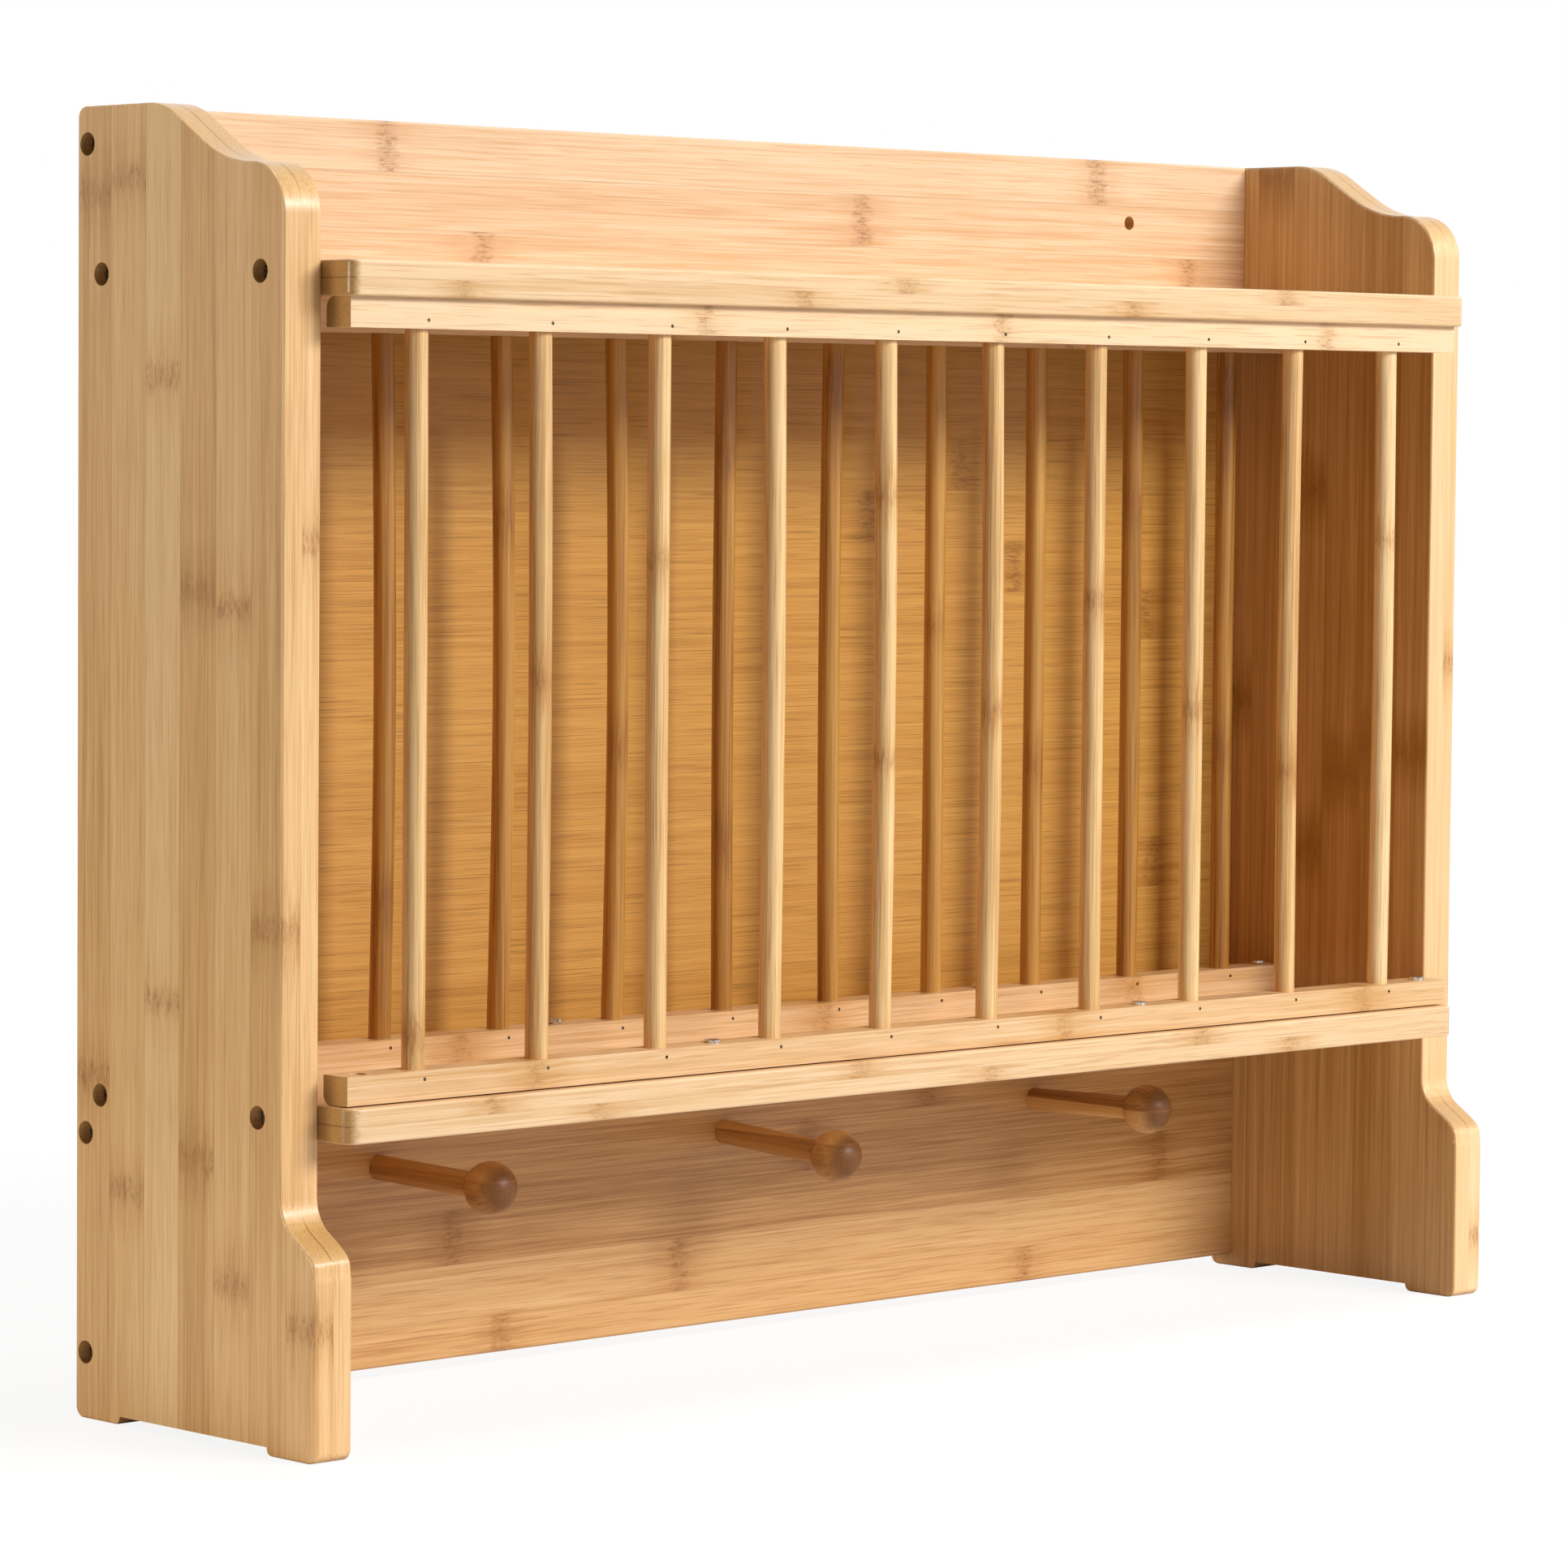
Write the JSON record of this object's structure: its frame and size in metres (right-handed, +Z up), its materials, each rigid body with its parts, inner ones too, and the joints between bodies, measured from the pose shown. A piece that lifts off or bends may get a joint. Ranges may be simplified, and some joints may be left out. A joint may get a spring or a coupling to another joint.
{
  "type": "wall plate rack",
  "caption": "Bamboo plate rack with shaped sides, two shelves, upright dowels between rails that hold plates on edge, and cup pegs on the lower back board.",
  "frame": {"origin": "centre of the footprint, level with the bottom of the feet", "axes": "+X to the viewer's right along the shelves, +Y to the back (the wall side), +Z up"},
  "size_m": [0.598, 0.13, 0.45],
  "materials": {
    "bamboo": "satin lacquer",
    "bamboo_brown": "satin lacquer",
    "bamboo_panel": "satin lacquer",
    "steel_bright": "zinc plated",
    "steel_dark": "blackened"
  },
  "bodies": {
    "root": {"left_side": "bamboo", "right_side": "bamboo", "top_shelf": "bamboo", "bottom_shelf": "bamboo", "upper_back_board": "bamboo", "lower_back_board": "bamboo_brown", "back_panel": "bamboo_panel", "front_top_rail": "bamboo", "front_bottom_rail": "bamboo", "rear_top_rail": "bamboo", "rear_bottom_rail": "bamboo", "front_dowel_01": "bamboo", "front_dowel_02": "bamboo", "front_dowel_03": "bamboo", "front_dowel_04": "bamboo", "front_dowel_05": "bamboo", "front_dowel_06": "bamboo", "front_dowel_07": "bamboo", "front_dowel_08": "bamboo", "front_dowel_09": "bamboo", "front_dowel_10": "bamboo", "rear_dowel_01": "bamboo", "rear_dowel_02": "bamboo", "rear_dowel_03": "bamboo", "rear_dowel_04": "bamboo", "rear_dowel_05": "bamboo", "rear_dowel_06": "bamboo", "rear_dowel_07": "bamboo", "rear_dowel_08": "bamboo", "rear_dowel_09": "bamboo", "rear_dowel_10": "bamboo", "left_peg": "bamboo_brown", "middle_peg": "bamboo_brown", "right_peg": "bamboo_brown", "left_side_screws": "steel_dark", "right_side_screws": "steel_dark", "bottom_rail_screws": "steel_bright", "top_rail_screws": "steel_bright", "front_rail_brads": "steel_dark", "rear_rail_brads": "steel_dark"}
  },
  "joints": []
}
